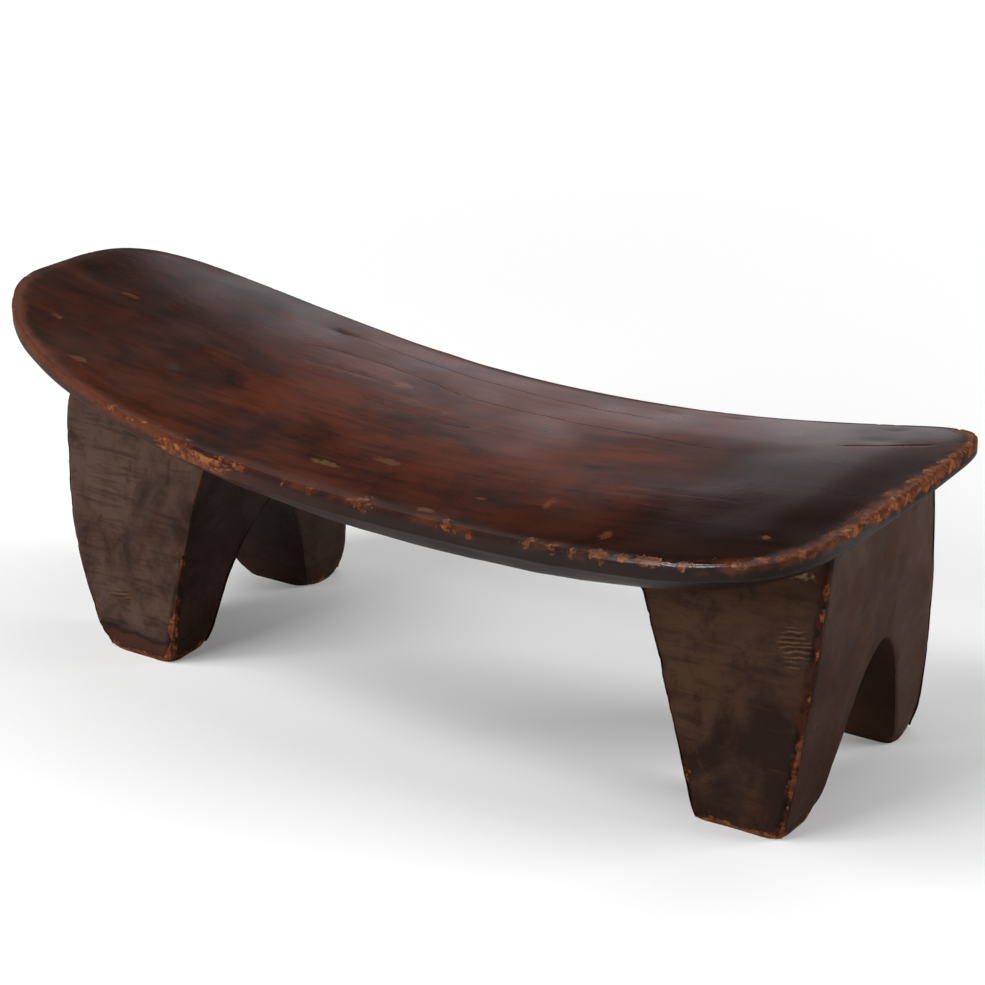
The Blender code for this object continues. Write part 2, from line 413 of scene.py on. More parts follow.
def platform_rubbing(points):
    """How strongly the band beside the upper arris is rubbed to a rusty brown, by place."""
    x, y, _ = points.T
    front = step(30 * MM, -40 * MM, y)
    high_end = step(-40 * MM, -110 * MM, x)
    low_end = step(205 * MM, 235 * MM, x)
    rubbing = 0.22 + 0.22 * front + 0.6 * front * high_end + 0.4 * low_end
    return np.clip(rubbing + 0.25 * noise(points, 30 * MM, 57), 0, 1)


# -------- the legs

OUTWARD = {"front": -1, "rear": 1}
FACE_POINTS = 44
SIDE_POINTS = 40
ARCH_ROWS = 62
UPPER_ROWS = 46
ARRIS_REACH = 4.2 * MM
ARCH_ARRIS_REACH = 2.6 * MM
FOOT_ARRIS_REACH = 4 * MM
CORNER_CUT = 0.29
# A foot corner's wear reaches this many times as far as it is deep.
CORNER_SPREAD = 4.5
# Power that crowds a leg's upper rows towards the arch.
ABOVE_CROWDING = 1.25
# The cove is how a leg's faces curve out under the platform: how far down it starts, how far out
# it goes as a share of that, and the share of a face that its corners take up.
COVE = 7 * MM
COVE_SPREAD = 0.8
COVE_CORNER = 0.16
TUCKED_IN = 3 * MM
# The search for the underside's height starts from a first guess.
FIRST_TOP = 105 * MM
TOP_SEARCHES = 12
# The sole's rings, as shares of the way in from the foot's edge to its middle.
SOLE_SHARES = (0.85, 0.72, 0.6, 0.49, 0.39, 0.3, 0.22)
# How deeply each foot's corners are worn round, in millimetres: outer and inner corner of the
# outside face, then inner and outer corner of the arch side.
FOOT_CORNERS = {
    ("left", "front"): (3.2, 1.8, 2.5, 2.0), ("left", "rear"): (3.0, 4.5, 3.0, 2.0),
    ("right", "front"): (2.4, 1.8, 2.0, 3.0), ("right", "rear"): (4.0, 3.0, 2.0, 1.8),
}


def face_place(face, z, y=0.0):
    """Where a support's face stands at height z; a twisted face also turns with y."""
    share = z / LEG_HEIGHT
    straight = face["foot"] + (face["top"] - face["foot"]) * share
    return straight + face["bulge"] * 4 * share * (1 - share) + face.get("twist", 0.0) * y * share


def arch_half_width(arch, z):
    """Half the arch's width at height z, 0 above the arch."""
    return arch["width"] / 2 * np.sqrt(np.maximum(0, 1 - z / arch["height"]))


def arch_middle(arch, z):
    """The arch leans a little to the rear; above it this is where the two legs meet."""
    share = np.minimum(1, z / arch["height"])
    return arch["foot_middle"] + (arch["top_middle"] - arch["foot_middle"]) * share


def arch_distance(arch, y, z):
    """How far a point of an end face is from the arch's edge; it is below 0 in the opening."""
    reach = arch["width"] / 2
    away = (y - arch_middle(arch, z)) / reach
    inside = 1 - z / arch["height"] - away ** 2
    slope = np.hypot(2 * away / reach, 1 / arch["height"])
    return -inside / slope


def crowded(count):
    """Shares from 0 to 1 that lie closer together at both ends."""
    even = np.linspace(0, 1, count, endpoint=False)
    return 0.5 * even + 0.5 * (0.5 - 0.5 * np.cos(math.pi * even))


def leg_shares(arch):
    """Heights up to the arch's top, and then shares of the rest of the way up."""
    below = arch["height"] * (1 - np.linspace(1, 0, ARCH_ROWS) ** 2)
    above = np.linspace(0, 1, UPPER_ROWS + 1)[1:] ** ABOVE_CROWDING
    return below, above


def leg_corner(support, side, face, place, z):
    """A corner of the leg's section: `face` is outer or inner, `place` is out or in."""
    outward = OUTWARD[side]
    if place == "out":
        y = face_place(support[side], z)
    else:
        y = arch_middle(support["arch"], z) + outward * arch_half_width(support["arch"], z)
    return face_place(support[face], z, y), y


def leg_column(support, side, part, share, z):
    """The point at height z on one side of the leg's section, `share` of the way along it."""
    first, second = {"end": (("outer", "in"), ("outer", "out")),
                     "outside": (("outer", "out"), ("inner", "out")),
                     "inner": (("inner", "out"), ("inner", "in")),
                     "arch": (("inner", "in"), ("outer", "in"))}[part]
    _, y0 = leg_corner(support, side, *first, z)
    _, y1 = leg_corner(support, side, *second, z)
    y = y0 + (y1 - y0) * share
    x0 = face_place(support[first[0]], z, y)
    x1 = face_place(support[second[0]], z, y)
    return x0 + (x1 - x0) * share, y


def cove_width(gap):
    """How far a face curves out, `gap` below the platform's underside."""
    share = np.clip(1 - gap / COVE, 0, 1)
    return COVE * (1 - np.sqrt(np.maximum(0, 1 - share ** 2))) * COVE_SPREAD


def cove_direction(support, side, part, share):
    """The way in which a side's points curve out: across each face, and both ways at a corner."""
    outward = OUTWARD[side]
    end_way = math.copysign(1, support["outer"]["foot"])
    at_start = step(COVE_CORNER, 0, share)
    at_finish = step(1 - COVE_CORNER, 1, share)
    return {"end": (end_way, outward * at_finish),
            "outside": (end_way * (at_start - at_finish), outward),
            "inner": (-end_way, outward * at_start),
            "arch": (-end_way * (1 - 2 * share), 0.0)}[part]


def underside_height(tree, x, y):
    """Height of the platform's underside over a place on the floor."""
    hit = tree.ray_cast(Vector((x, y, 0)), Vector((0, 0, 1)))[0]
    return hit.z if hit else rim_top(x) - RIM_HEIGHT


def column_top(tree, support, side, part, share):
    """Where a column meets the underside of the platform, with its cove."""
    along, across = cove_direction(support, side, part, share)
    height = FIRST_TOP
    out = cove_width(0.0)
    for _ in range(TOP_SEARCHES):
        x, y = leg_column(support, side, part, share, height)
        found = underside_height(tree, float(x + along * out), float(y + across * out))
        height = 0.5 * height + 0.5 * found
    return height


def make_leg(name, support, side, tree):
    """One leg up to its place inside the platform: one closed mesh."""
    arch = support["arch"]
    below, above = leg_shares(arch)
    columns = []
    for part, count in (("end", FACE_POINTS), ("outside", SIDE_POINTS), ("inner", FACE_POINTS),
                        ("arch", SIDE_POINTS)):
        columns += [(part, share) for share in crowded(count)]
    parts = np.array([part for part, _ in columns])
    grid = []
    for part, share in columns:
        top = column_top(tree, support, side, part, share)
        heights = np.concatenate([below, arch["height"] + (top - arch["height"]) * above])
        x, y = leg_column(support, side, part, share, heights)
        along, across = cove_direction(support, side, part, share)
        out = cove_width(top - heights)
        column = np.stack([x + along * out, y + across * out, heights], axis=1)
        grid.append(np.vstack([column, column[-1] + (0, 0, TUCKED_IN)]))
    grid = np.array(grid).transpose(1, 0, 2)
    middle = grid[0].mean(axis=0)
    half_foot = np.linalg.norm(grid[0] - middle, axis=1).min()
    foot = [drawn_in(grid[0], middle, share * half_foot) for share in SOLE_SHARES]
    rows = foot + list(grid)
    count = len(columns)
    points = np.concatenate(rows)
    faces = ring_faces(len(rows), count)
    faces.append(tuple(range(count)))
    faces.append(tuple(range(len(points) - count, len(points))))
    piece = new_piece(name, points, faces)
    shape_leg(piece, support, side, np.tile(parts, len(rows)), count, len(foot))
    return piece


def round_foot_corners(points, support, side, depths):
    """Moves points near a foot's four corners inwards and up."""
    places = (("outer", "out"), ("inner", "out"), ("inner", "in"), ("outer", "in"))
    corners = [leg_corner(support, side, face, place, 0.0) for face, place in places]
    middle = np.mean(corners, axis=0)
    for corner, depth in zip(corners, depths):
        inward = np.append(np.sign(middle - corner), 1.0) / math.sqrt(3)
        reach = CORNER_SPREAD * depth * MM
        away = np.linalg.norm(points - np.append(corner, 0.0), axis=1)
        points = points + np.outer(depth * MM * np.clip(1 - away / reach, 0, 1) ** 2, inward)
    return points


def drawn_in(ring, middle, inset):
    """The ring moved towards its middle by `inset`, for the sole inside the foot's edge."""
    away = ring - middle
    size = np.linalg.norm(away, axis=1, keepdims=True)
    return ring - away / size * inset


def shape_leg(piece, support, side, parts, count, sole_rows):
    """Rounds the arrises, adds hand-carving marks and flakes, and paints the wear."""
    points = read_points(piece)
    arch = support["arch"]
    x, y, z = points.T
    outward = OUTWARD[side]
    end_way = math.copysign(1, support["outer"]["foot"])
    outside = (face_place(support[side], z) - y) * outward
    from_outer = (face_place(support["outer"], z, y) - x) * end_way
    from_inner = (x - face_place(support["inner"], z, y)) * end_way
    nearer_end = np.minimum(np.abs(from_outer), np.abs(from_inner))
    sole = np.arange(len(points)) < sole_rows * count
    ways = {"end": (end_way, 0, 0), "outside": (0, outward, 0),
            "inner": (-end_way, 0, 0), "arch": (0, -outward, 0)}
    on = {part: (parts == part) & ~sole for part in ways}
    way = read_normals(piece)
    for part, direction in ways.items():
        way[on[part]] = direction

    def cut(distance, reach):
        return CORNER_CUT * reach * np.clip(1 - distance / reach, 0, 1) ** 2

    rounding = ARRIS_REACH * (1 + 0.45 * noise(points, 26 * MM, 61))
    from_arch = np.abs(arch_distance(arch, y, z))
    rounded = np.where(on["outside"], cut(nearer_end, rounding),
                       cut(np.abs(outside), rounding) + cut(from_arch, ARCH_ARRIS_REACH))
    rounded += cut(z, FOOT_ARRIS_REACH * (1 + 0.5 * noise(points, 18 * MM, 71)))
    rounded[sole | on["arch"]] = 0

    arris = np.minimum(np.hypot(outside, from_outer), np.hypot(outside, from_inner))
    foot_edge = np.hypot(z, np.minimum(np.abs(outside), nearer_end))
    closeness = np.maximum(np.exp(-(arris / (3.4 * MM)) ** 2),
                           0.9 * np.exp(-(foot_edge / (3.2 * MM)) ** 2))
    worn = leg_wear(points, support, side, np.abs(from_outer) < np.abs(from_inner))
    flake = layered_noise(points, (5 * MM, 5 * MM, 6 * MM), 81)
    chipped = step(0.05, 0.55, flake * 0.8 + worn * 1.1 - 0.6) * closeness

    push = 0.7 * MM * layered_noise(points, (46 * MM, 46 * MM, 38 * MM), 91)
    push += 0.8 * MM * (tool_marks(points, (24 * MM, 24 * MM, 34 * MM), 95) - 0.5)
    push += 0.10 * MM * noise(points, 7 * MM, 97)
    push -= chipped * (0.5 * MM + 0.2 * MM * noise(points, 3 * MM, 99))
    push *= step(0, 6 * MM, z)
    above_arch = on["arch"] & (z > arch["height"] - 0.5 * MM)
    push[sole | above_arch | (z < 0.01 * MM)] = 0
    end = "left" if end_way < 0 else "right"
    moved = round_foot_corners(points + way * (push - rounded)[:, None], support, side,
                               FOOT_CORNERS[end, side])
    moved[:, 2] = np.maximum(moved[:, 2], 0)
    write_points(piece, moved)
    # under marks the inner and arch sides, which the material darkens with soot and painted shade.
    paint(piece, edge=closeness, worn=worn, flake=flake, under=on["inner"] | on["arch"],
          outside=on["outside"])


def leg_wear(points, support, side, at_outer):
    """How much of the dark surface has worn off a leg's arrises, by place."""
    z = points[:, 2]
    wear = 0.30 + 0.25 * noise(points, 30 * MM, 101)
    wear += 0.35 * step(12 * MM, 0, z)
    if side == "front":
        wear += 0.15
        if support["outer"]["foot"] > 0:
            wear += 0.35 * at_outer
        else:
            wear += 0.25 * step(55 * MM, 20 * MM, z)
    return np.clip(wear, 0, 1)


# How far in from an end face the line where two legs meet stays sharp, and how far below the
# arch's top it starts.
SEAM_DEPTH = 9 * MM
SEAM_START = 2 * MM


def mark_seam_sharp(piece, support):
    """Keeps the shading of the two end faces flat up to the line where two legs meet."""
    data = piece.data
    arch = support["arch"]
    x, y, z = read_points(piece).T
    pairs = np.array([edge.vertices[:] for edge in data.edges])
    seam = (np.abs(y - arch["top_middle"]) < 0.01 * MM) & (z > arch["height"] - SEAM_START)
    depths = [np.abs(x - face_place(support[face], z, y)) for face in ("outer", "inner")]
    border = seam & (np.minimum(*depths) < SEAM_DEPTH)
    attribute = data.attributes.new("sharp_edge", "BOOLEAN", "EDGE")
    attribute.data.foreach_set("value", border[pairs].all(axis=1))


# -------- materials


class Graph:
    """Short calls for building a material's nodes."""

    def __init__(self, name):
        self.material = bpy.data.materials.new(name)
        self.material.use_nodes = True
        self.tree = self.material.node_tree
        self.shader = self.tree.nodes["Principled BSDF"]
        self.place = self.add("ShaderNodeTexCoord").outputs["Object"]

    def set(self, socket, value):
        if isinstance(value, bpy.types.NodeSocket):
            self.tree.links.new(value, socket)
        else:
            socket.default_value = value

    def add(self, kind, inputs=None, **settings):
        """A node with its settings, and with its inputs set or linked by name or number."""
        node = self.tree.nodes.new(kind)
        for name, value in settings.items():
            setattr(node, name, value)
        for name, value in (inputs or {}).items():
            self.set(node.inputs[name], value)
        return node

    def math(self, operation, *values, clamp=False):
        inputs = dict(enumerate(values))
        return self.add("ShaderNodeMath", inputs, operation=operation, use_clamp=clamp).outputs[0]

    def product(self, *values):
        total = values[0]
        for value in values[1:]:
            total = self.math("MULTIPLY", total, value)
        return total

    def scaled(self, scale, move=(0, 0, 0)):
        inputs = {"Scale": scale, "Location": move, "Vector": self.place}
        return self.add("ShaderNodeMapping", inputs).outputs[0]

    def noise(self, scale, detail=3.0, roughness=0.5, distortion=0.0, move=(0, 0, 0)):
        """Noise whose scale is in bumps per metre along x, y and z."""
        scale = scale if isinstance(scale, tuple) else (scale,) * 3
        inputs = {"Scale": 1, "Detail": detail, "Roughness": roughness, "Distortion": distortion,
                  "Vector": self.scaled(scale, move)}
        return self.add("ShaderNodeTexNoise", inputs).outputs[0]

    def sway(self, width, scale, **settings):
        """Noise around 0, `width` from its lowest to its highest."""
        return self.math("MULTIPLY_ADD", self.noise(scale, **settings), width, -width / 2)

    def cells(self, scale, move=(0, 0, 0)):
        """Distance from the middles of scattered cells, 0 to about 1."""
        inputs = {"Scale": 1, "Vector": self.scaled(scale, move)}
        return self.add("ShaderNodeTexVoronoi", inputs).outputs["Distance"]

    def step(self, value, low, high, start=0.0, end=1.0):
        """`start` at `low` and `end` at `high`, with a smooth way between them."""
        inputs = {"Value": value, "From Min": low, "From Max": high, "To Min": start, "To Max": end}
        return self.add("ShaderNodeMapRange", inputs, interpolation_type="SMOOTHSTEP").outputs[0]

    def zone(self, value, start, full, fading, end):
        """1 from `full` to `fading`, and 0 below `start` and above `end`."""
        return self.product(self.step(value, start, full), self.step(value, end, fading))

    def ramp(self, value, low, high):
        """0 at `low` and 1 at `high`, in a straight line between them."""
        inputs = {"Value": value, "From Min": low, "From Max": high}
        return self.add("ShaderNodeMapRange", inputs, clamp=True).outputs[0]

    def mix(self, share, first, second):
        """The first colour where the share is 0, and the second where it is 1."""
        inputs = {"Factor": share, 6: first, 7: second}
        return self.add("ShaderNodeMix", inputs, data_type="RGBA").outputs[2]

    def over(self, base, tint, *shares):
        """A tint laid over the base colour, as strongly as the product of the shares."""
        return self.mix(self.product(*shares), base, tint)

    def attribute(self, name):
        return self.add("ShaderNodeAttribute", attribute_name=name).outputs["Fac"]

    def axis(self, index):
        """Place along x, y or z, in metres."""
        return self.add("ShaderNodeSeparateXYZ", {0: self.place}).outputs[index]

    def bump(self, height, distance, strength=1.0, normal=None):
        inputs = {"Distance": distance, "Strength": strength, "Height": height}
        if normal:
            inputs["Normal"] = normal
        return self.add("ShaderNodeBump", inputs).outputs[0]


def color(red, green, blue):
    """A colour given as screen values from 0 to 255."""
    def linear(value):
        value /= 255
        return value / 12.92 if value <= 0.04045 else ((value + 0.055) / 1.055) ** 2.4
    return linear(red), linear(green), linear(blue), 1.0


DARK_WOOD = color(36, 18, 11)
RED_WOOD = color(60, 26, 13)
WARM_WOOD = color(90, 38, 15)
RUBBED_WOOD = color(88, 44, 24)
WORN_WOOD = color(104, 57, 32)
RAW_EDGE = color(140, 86, 50)
# The soot colour is also used as painted shade on the left legs' inner and arch sides.
SOOT_AND_SHADE = color(15, 10, 8)
RIM_SOOT = color(26, 15, 13)
# The grey and the olive wood colours are also used as painted light on the right legs.
GREY_WOOD_AND_LIGHT = color(75, 56, 46)
OLIVE_WOOD_AND_LIGHT = color(66, 44, 29)
UMBER_WOOD = color(34, 20, 14)
RUST_WOOD = color(66, 36, 23)
OCHRE_MARK = color(116, 66, 36)
PALE_SCUFF = color(112, 84, 56)
CRUST = color(140, 118, 88)


def flake_mask(g):
    """Ragged flakes of bare wood on the arrises, more of them where the surface is more worn."""
    fine = g.sway(3.6, 560, detail=4, roughness=0.7)
    coarse = g.sway(6.0, 100, detail=4, move=(4, 4, 4))
    flake = g.math("MULTIPLY_ADD", g.attribute("flake"), 0.35, -1.3)
    wear = g.product(g.attribute("worn"), g.attribute("edge"))
    total = g.math("MULTIPLY_ADD", wear, 2.7, flake)
    total = g.math("ADD", g.math("ADD", total, fine), coarse)
    return g.product(g.step(total, 0.0, 0.3), g.step(wear, 0.02, 0.1))


def bead_mask(g):
    """Separate scars along a leg's arrises, each a bead of bare wood."""
    away = g.math("ADD", g.cells((34, 34, 100), (0.3, 0.1, 0.6)), g.sway(0.5, 420, detail=3))
    wear = g.product(g.attribute("worn"), g.attribute("edge"))
    size = g.math("MULTIPLY_ADD", wear, 0.62, -0.04)
    bead = g.step(g.math("SUBTRACT", size, away), -0.02, 0.06)
    return g.product(bead, g.step(wear, 0.22, 0.4))


def bare_wood(g):
    """The colours of the bare flakes: tan, orange brown and grimy brown."""
    tan = g.step(g.noise(260, detail=4), 0.47, 0.64)
    grime = g.step(g.noise(330, detail=5, roughness=0.7, move=(2, 2, 2)), 0.45, 0.6)
    return g.mix(g.product(grime, 0.75), g.mix(tan, WORN_WOOD, RAW_EDGE), RED_WOOD)


def crack_mask(g, crack, width):
    """A thin wandering dark line on the top."""
    (x0, y0), (x1, y1), bow, _ = crack
    share = g.ramp(g.axis(0), x0 * MM, x1 * MM)
    arc = g.product(share, g.math("SUBTRACT", 1.0, share))
    middle = g.math("MULTIPLY_ADD", share, (y1 - y0) * MM, y0 * MM)
    middle = g.math("MULTIPLY_ADD", arc, bow * 4 * MM, middle)
    middle = g.math("ADD", middle, g.sway(5 * MM, (45, 8, 8), detail=4))
    away = g.math("ABSOLUTE", g.math("SUBTRACT", middle, g.axis(1)))
    ends = g.step(g.math("ABSOLUTE", g.math("SUBTRACT", share, 0.5)), 0.5, 0.42)
    return g.product(g.step(away, width * 1.6, width * 0.3), ends)


# Small marks on the top: x, y, half length, half width in millimetres, strength, colour.
TOP_MARKS = [
    (-34, 25, 6, 4, 0.75, OCHRE_MARK), (4, 6, 2.4, 2.0, 0.6, OCHRE_MARK),
    (-10, -72, 8, 2.4, 0.5, PALE_SCUFF), (14, -56, 8, 2.6, 0.4, PALE_SCUFF),
    (58, -88, 5, 2, 0.5, PALE_SCUFF), (108, -64, 2.6, 6, 0.5, OCHRE_MARK),
    (219, -70, 2.6, 1.6, 0.95, OCHRE_MARK), (-170, -62, 6, 2, 0.45, OCHRE_MARK),
    (-205, -38, 5, 2, 0.5, OCHRE_MARK), (150, -84, 3, 4, 0.5, OCHRE_MARK),
    (-196, 8, 7, 2, 0.4, OCHRE_MARK), (75, -70, 3, 1.4, 0.5, OCHRE_MARK),
]
# Thin pale scratches on the top, given like the cracks.
SCRATCHES = [
    ((128, -40), (196, -44), 1, 0), ((-60, 10), (20, 4), 3, 0), ((60, 20), (120, 26), -2, 0),
]
# The chip on the near rim: from x to x.
CHIP_X = (-92 * MM, -50 * MM)
# The height of the dark line on the left legs, and how far apart the legs' scrapes lie.
TIDE_LINE = 11.8 * MM
SCRAPE_SPACING = 2.2 * MM


def ragged_patch(g, axes, place, ragged, edge, border):
    """An elliptical patch. `place` is its middle along the two axes and its half sizes, in
    millimetres. `edge` and `border` are the squared distances over which it fades, counted
    from its middle with and without the ragged noise."""
    squares = []
    for axis, middle, half in zip(axes, place[:2], place[2:]):
        away = g.math("MULTIPLY", g.math("SUBTRACT", g.axis(axis), middle * MM), 1 / (half * MM))
        squares.append(g.product(away, away))
    away = g.math("ADD", *squares)
    return g.product(g.step(g.math("ADD", away, ragged), *edge), g.step(away, *border))


def spot_mask(g, place, strength):
    """A small ragged blotch on the top."""
    ragged = g.sway(5, 300, detail=5, roughness=0.7, move=(5, 5, 5))
    spot = ragged_patch(g, (0, 1), place, ragged, (1.2, 0.2), (2.6, 1.4))
    return g.product(spot, strength, g.attribute("top"))


def lines_mask(g, lines, width):
    """All of a list of cracks or scratches, on the top only."""
    total = 0.0
    for line in lines:
        total = g.math("MAXIMUM", total, crack_mask(g, line, width))
    return g.product(total, g.attribute("top"))


def platform_wood(g, grain):
    """Old dark wood: red brown where hands have polished it, sooty in blotches."""
    streaks = g.noise((5, 60, 60), detail=4, roughness=0.6, move=(3, 1, 0))
    patches = g.noise((16, 22, 20), detail=5, roughness=0.62, distortion=0.6, move=(1, 5, 2))
    x, y = g.axis(0), g.axis(1)
    base = g.mix(g.step(patches, 0.32, 0.64), DARK_WOOD, RED_WOOD)
    base = g.over(base, WARM_WOOD, g.step(streaks, 0.5, 0.75), 0.4)
    middle = g.product(g.zone(x, -0.16, -0.05, 0.12, 0.19), g.step(y, -0.09, -0.03))
    front = g.product(g.step(y, -0.03, -0.09), g.step(x, 0.15, 0.05), 0.5)
    glow = g.math("MAXIMUM", middle, front)
    base = g.over(base, WARM_WOOD, glow, g.step(patches, 0.25, 0.6))
    low_dark = g.product(g.step(x, 0.12, 0.20), g.step(y, 0.06, -0.02, 0.3, 0.9))
    base = g.mix(low_dark, base, DARK_WOOD)
    base = g.over(base, SOOT_AND_SHADE, g.step(grain, 0.44, 0.62), 0.42)
    blots = g.noise((24, 36, 34), detail=4, roughness=0.62, distortion=0.4, move=(7, 2, 4))
    base = g.over(base, SOOT_AND_SHADE, g.step(blots, 0.48, 0.72), 0.65)
    specks = g.noise((70, 130, 120), detail=3, roughness=0.6, move=(2, 7, 1))
    return g.over(base, SOOT_AND_SHADE, g.step(specks, 0.5, 0.8), 0.35)


def chip_mask(g):
    """The chip on the near rim, with a torn edge."""
    start, end = CHIP_X
    along = g.zone(g.axis(0), start - 12 * MM, start + 8 * MM, end - 14 * MM, end + 8 * MM)
    chip = g.product(along, g.step(g.axis(1), -0.04, -0.06), g.attribute("chip"))
    torn = g.sway(4.0, (75, 75, 420), detail=5, roughness=0.65)
    return g.product(g.step(g.math("ADD", chip, torn), 0.36, 0.6), g.step(chip, 0.05, 0.3))


def platform_roughness(g, bare, cracks):
    """The lowest where hands have polished the wood, and more where it is bare or cracked."""
    x, y = g.axis(0), g.axis(1)
    rough = g.step(g.noise(28, detail=1), 0.3, 0.7, 0.26, 0.35)
    dull = g.product(g.zone(x, 0.05, 0.12, 0.15, 0.19), g.zone(y, -0.05, -0.01, 0.02, 0.05))
    calm = g.product(g.step(x, 0.08, 0.15), g.step(y, 0.0, -0.04))
    for place, change in ((dull, 0.24), (calm, -0.12), (bare, 0.25), (cracks, 0.5)):
        rough = g.math("MULTIPLY_ADD", place, change, rough)
    glint = g.product(g.zone(x, 0.16, 0.19, 0.215, 0.235), g.step(y, 0.0, -0.04))
    matt = g.product(g.attribute("edge"), g.math("SUBTRACT", 0.42, g.product(glint, 0.48)))
    return g.math("ADD", rough, matt, clamp=True)


def platform_material(name, polished):
    """Finish of the polished top, or of the rim and underside, which are dull and sooty."""
    g = Graph(name)
    grain = g.noise((14, 190, 190), detail=5, roughness=0.62, distortion=0.4)
    off_top = g.math("SUBTRACT", 1.0, g.attribute("top"))
    base = platform_wood(g, grain)
    dark_rim = g.math("MAXIMUM", off_top, g.product(g.attribute("edge"), 0.6))
    base = g.over(base, RIM_SOOT, dark_rim, g.step(g.axis(0), -0.10, 0.0, 0.25, 0.8))
    patchy = g.noise((70, 110, 110), detail=5, roughness=0.65, move=(1, 1, 1))
    patchy = g.math("MULTIPLY_ADD", patchy, 2.2, -1.5)
    rubbed = g.math("MULTIPLY_ADD", g.attribute("rubbed"), 1.3, patchy)
    rubbed = g.product(g.step(rubbed, 0.0, 0.8), g.step(g.attribute("rubbed"), 0.02, 0.2), 0.85)
    base = g.mix(rubbed, base, RUBBED_WOOD)
    cracks = lines_mask(g, CRACKS, 0.30 * MM)
    base = g.over(base, SOOT_AND_SHADE, cracks, 0.9)
    base = g.over(base, OCHRE_MARK, lines_mask(g, SCRATCHES, 0.22 * MM), 0.4)
    for *place, strength, tint in TOP_MARKS:
        base = g.mix(spot_mask(g, place, strength), base, tint)
    bare = g.math("MAXIMUM", flake_mask(g), chip_mask(g))
    base = g.over(base, bare_wood(g), bare, 0.92)
    g.set(g.shader.inputs["Base Color"], base)
    rough = platform_roughness(g, bare, cracks)
    if polished:
        g.shader.inputs["IOR"].default_value = 1.45
    else:
        rough = g.math("ADD", rough, 0.2, clamp=True)
        g.shader.inputs["Specular IOR Level"].default_value = 0.16
    g.set(g.shader.inputs["Roughness"], rough)
    height = g.math("ADD", g.product(grain, 0.35), g.product(bare, -0.5))
    normal = g.bump(height, 0.35 * MM, 0.6)
    normal = g.bump(g.product(cracks, -1.0), 0.5 * MM, 1.0, normal)
    normal = g.bump(g.noise(600, detail=4), 0.08 * MM, 0.5, normal)
    g.set(g.shader.inputs["Normal"], normal)
    return g.material


def outside_patch(g, place, ragged, edge, border):
    """A ragged patch on the outside of a front leg."""
    return g.product(ragged_patch(g, (0, 2), place, ragged, edge, border),
                     g.attribute("outside"), g.step(g.axis(1), -0.03, -0.05))


def scrape_marks(g, base, place, strength):
    """Short slanting scrapes in a patch."""
    slant = g.math("MULTIPLY_ADD", g.axis(0), -0.2, g.axis(2))
    slant = g.math("ADD", slant, g.sway(3 * MM, (120, 120, 260), detail=3))
    wave = g.math("SINE", g.math("MULTIPLY", slant, 2 * math.pi / SCRAPE_SPACING))
    ragged = g.sway(4, (200, 200, 400), detail=5, roughness=0.7, move=(8, 8, 8))
    inside = g.product(outside_patch(g, place, ragged, (1.2, 0.2), (1.8, 1.0)), strength)
    base = g.over(base, PALE_SCUFF, inside, g.step(wave, 0.1, 0.9))
    return g.over(base, SOOT_AND_SHADE, inside, g.step(wave, -0.1, -0.8))


def crusty_spot(g, base, place):
    """A pale dried crust."""
    ragged = g.sway(7, 420, detail=5, roughness=0.75)
    inside = outside_patch(g, place, ragged, (0.6, -0.2), (2.2, 1.0))
    return g.over(base, CRUST, inside, 0.65)


def leg_wood(g, light_wood, darker_below):
    """Patches, mottle, smears and level streaks of light and dark wood."""
    patches = g.noise((26, 26, 20), detail=5, roughness=0.62, distortion=0.8, move=(4, 1, 3))
    mottle = g.noise((80, 80, 64), detail=6, roughness=0.74, distortion=0.5, move=(6, 2, 5))
    smears = g.noise((50, 50, 26), detail=5, roughness=0.7, move=(9, 3, 1))
    streaks = g.noise((36, 36, 330), detail=4, roughness=0.65, distortion=0.3, move=(5, 5, 2))
    depth = g.math("ADD", patches, g.step(g.axis(2), darker_below, 0.0, 0.0, -0.2))
    base = g.mix(g.step(depth, 0.30, 0.60), UMBER_WOOD, light_wood)
    base = g.over(base, RUST_WOOD, g.step(smears, 0.50, 0.68), 0.6)
    base = g.over(base, UMBER_WOOD, g.step(mottle, 0.48, 0.66), 0.65)
    base = g.over(base, light_wood, g.step(mottle, 0.44, 0.30), 0.6)
    return g.over(base, light_wood, g.step(streaks, 0.56, 0.72), 0.35)


def left_leg_marks(g, base):
    """A tide line with rusty wood below it, and scrapes."""
    tide = g.math("ADD", g.axis(2), g.sway(12 * MM, 60, detail=4, move=(3, 3, 3)))
    base = g.mix(g.step(tide, 11.5 * MM, 9.5 * MM, 0.0, 0.7), base, RUST_WOOD)
    from_line = g.math("ABSOLUTE", g.math("SUBTRACT", tide, TIDE_LINE))
    base = g.mix(g.step(from_line, 1.8 * MM, 0.0, 0.0, 0.6), base, SOOT_AND_SHADE)
    return scrape_marks(g, base, (-148, 30, 8, 3), 0.35)


def right_leg_marks_and_light(g, base):
    """Scrapes and a crusty spot near the top. Painted light: a pale band near the top, under the rim,
    and a lighter, greyer rear leg.
    """
    base = scrape_marks(g, base, (229, 91, 8.5, 10), 0.42)
    # Painted light: a paler band at the top of the legs, where the cove under the rim catches light.
    painted_light_band = g.product(g.step(g.axis(2), 0.106, 0.122), g.step(g.axis(2), 0.17, 0.10), 0.3)
    base = crusty_spot(g, g.mix(painted_light_band, base, OLIVE_WOOD_AND_LIGHT), (229, 123, 8, 3))
    # Painted light: the rear leg is lighter and greyer, for the light and sheen its end face catches.
    return g.over(base, GREY_WOOD_AND_LIGHT, g.step(g.axis(1), 0.01, 0.05), 0.5)


